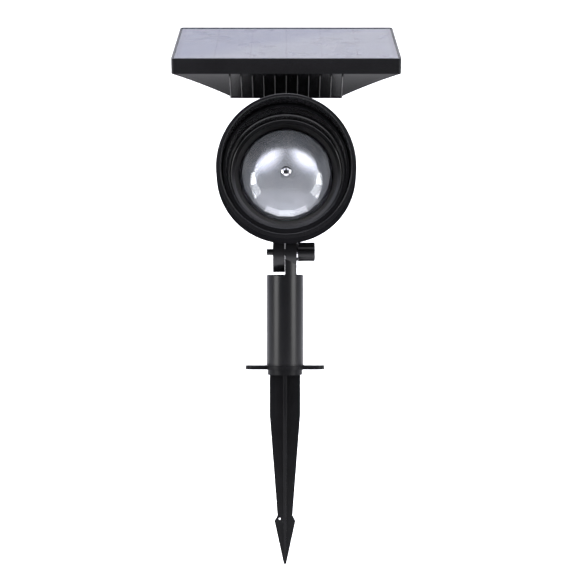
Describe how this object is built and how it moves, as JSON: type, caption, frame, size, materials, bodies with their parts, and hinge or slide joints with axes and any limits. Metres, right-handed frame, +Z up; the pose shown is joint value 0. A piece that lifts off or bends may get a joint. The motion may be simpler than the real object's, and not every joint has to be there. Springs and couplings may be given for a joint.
{
  "type": "solar projector garden stake light",
  "caption": "Garden stake light: hooded round lamp head with a turning faceted dome, a hinged solar panel above, and a barbed ground spike below.",
  "frame": {"origin": "on the post axis at the underside of the foot bar, where the ground surface meets the stake", "axes": "+Z up along the post, -Y towards the front (the way the lamp shines), +X to the right seen from the front, where the clamp knob is"},
  "size_m": [0.1408, 0.1109, 0.3466],
  "materials": {
    "black_gloss": "glossy moulded black",
    "black_satin": "semi-gloss black",
    "black_matte": "matte moulded black",
    "plated_steel": "bright plated",
    "screw_steel": "zinc plated",
    "brass": "turned",
    "seal_rubber": "soft black",
    "clear_lens": "clear polished",
    "mirror_coat": "vacuum metallised",
    "white_nylon": "moulded nylon",
    "grey_plastic": "moulded grey",
    "board_green": "solder mask",
    "led_resin": "clear resin over phosphor",
    "button_rubber": "soft matte",
    "switch_plastic": "moulded",
    "panel_glass": "clear cover sheet",
    "silicon_cell": "dark blue-black silicon",
    "backing_board": "dark laminate",
    "battery_wrap": "shrink wrap"
  },
  "bodies": {
    "stake": {"ground_spike": "black_matte", "post_tube": "black_satin", "post_cap": "black_satin"},
    "clamp_washer": {"clamp_washer": "plated_steel"},
    "thumb_screw": {"thumb_knob": "black_satin", "thumb_screw_rod": "black_satin"},
    "lamp_head": {"front_hood": "black_gloss", "bezel_ring": "black_gloss", "hood_seal": "seal_rubber", "lip_seal": "seal_rubber", "hood_screws": "screw_steel", "rear_housing": "black_gloss", "head_bracket": "black_satin", "hinge_bracket": "black_satin", "hinge_screws": "screw_steel", "lug_insert": "brass", "bracket_screws": "screw_steel", "shaft_bush": "brass", "gear_plate": "grey_plastic", "motor_bracket": "screw_steel", "gear_motor": "screw_steel", "plate_screws": "screw_steel", "board_screws": "screw_steel", "motor_screws": "screw_steel", "led_board": "board_green", "led_array": "led_resin", "reflector": "mirror_coat", "control_board": "board_green", "power_switch": "switch_plastic", "control_screws": "screw_steel", "hinge_bolt": "plated_steel", "hinge_nut": "plated_steel"},
    "dome_rotor": {"dome_lens": "clear_lens", "dome_screw": "plated_steel", "rotor_hub": "white_nylon", "dome_shaft": "screw_steel", "dome_gear": "white_nylon"},
    "pinion": {"drive_pinion": "white_nylon"},
    "button": {"power_button": "button_rubber"},
    "solar_panel": {"panel_tray": "black_gloss", "panel_cover": "black_gloss", "hinge_tongue": "black_satin", "tongue_screws": "screw_steel", "solar_backing": "backing_board", "solar_glass": "panel_glass", "solar_cells": "silicon_cell", "tray_gasket": "seal_rubber", "battery": "battery_wrap", "battery_cradle": "grey_plastic", "battery_contacts": "screw_steel", "charge_board": "board_green", "charge_screws": "screw_steel", "cover_screws": "screw_steel"}
  },
  "joints": [
    {"name": "clamp_slide", "type": "slide", "parent": "stake", "child": "clamp_washer", "axis": [1, 0, 0], "range_m": [0, 0.0014]},
    {"name": "thumb_screw_turn", "type": "hinge", "parent": "clamp_washer", "child": "thumb_screw", "pos_m": [0.0138, 0, 0.0737], "axis": [1, 0, 0], "range_deg": [-30, 750]},
    {"name": "head_tilt", "type": "hinge", "parent": "stake", "child": "lamp_head", "pos_m": [0, 0, 0.0737], "axis": [1, 0, 0], "range_deg": [-75, 60]},
    {"name": "panel_tilt", "type": "hinge", "parent": "lamp_head", "child": "solar_panel", "pos_m": [0.0008, 0.012, 0.1655], "axis": [1, 0, 0], "range_deg": [-55, 12]},
    {"name": "dome_spin", "type": "hinge", "parent": "lamp_head", "child": "dome_rotor", "pos_m": [0.0008, -0.02, 0.123], "axis": [0, -0.9925, 0.1219], "continuous": true},
    {"name": "pinion_spin", "type": "hinge", "parent": "lamp_head", "child": "pinion", "pos_m": [0.0008, -0.01829, 0.1369], "axis": [0, -0.9925, 0.1219], "continuous": true},
    {"name": "button_press", "type": "slide", "parent": "lamp_head", "child": "button", "axis": [0, -0.9925, 0.1219], "range_m": [0, 0.0015], "stiffness_N_per_m": 400, "springref_m": -0.002}
  ],
  "couplings": [
    {"joint": "thumb_screw_turn", "follows": "clamp_slide", "rad_per_m": 8976},
    {"joint": "pinion_spin", "follows": "dome_spin", "ratio": -3.6667}
  ]
}
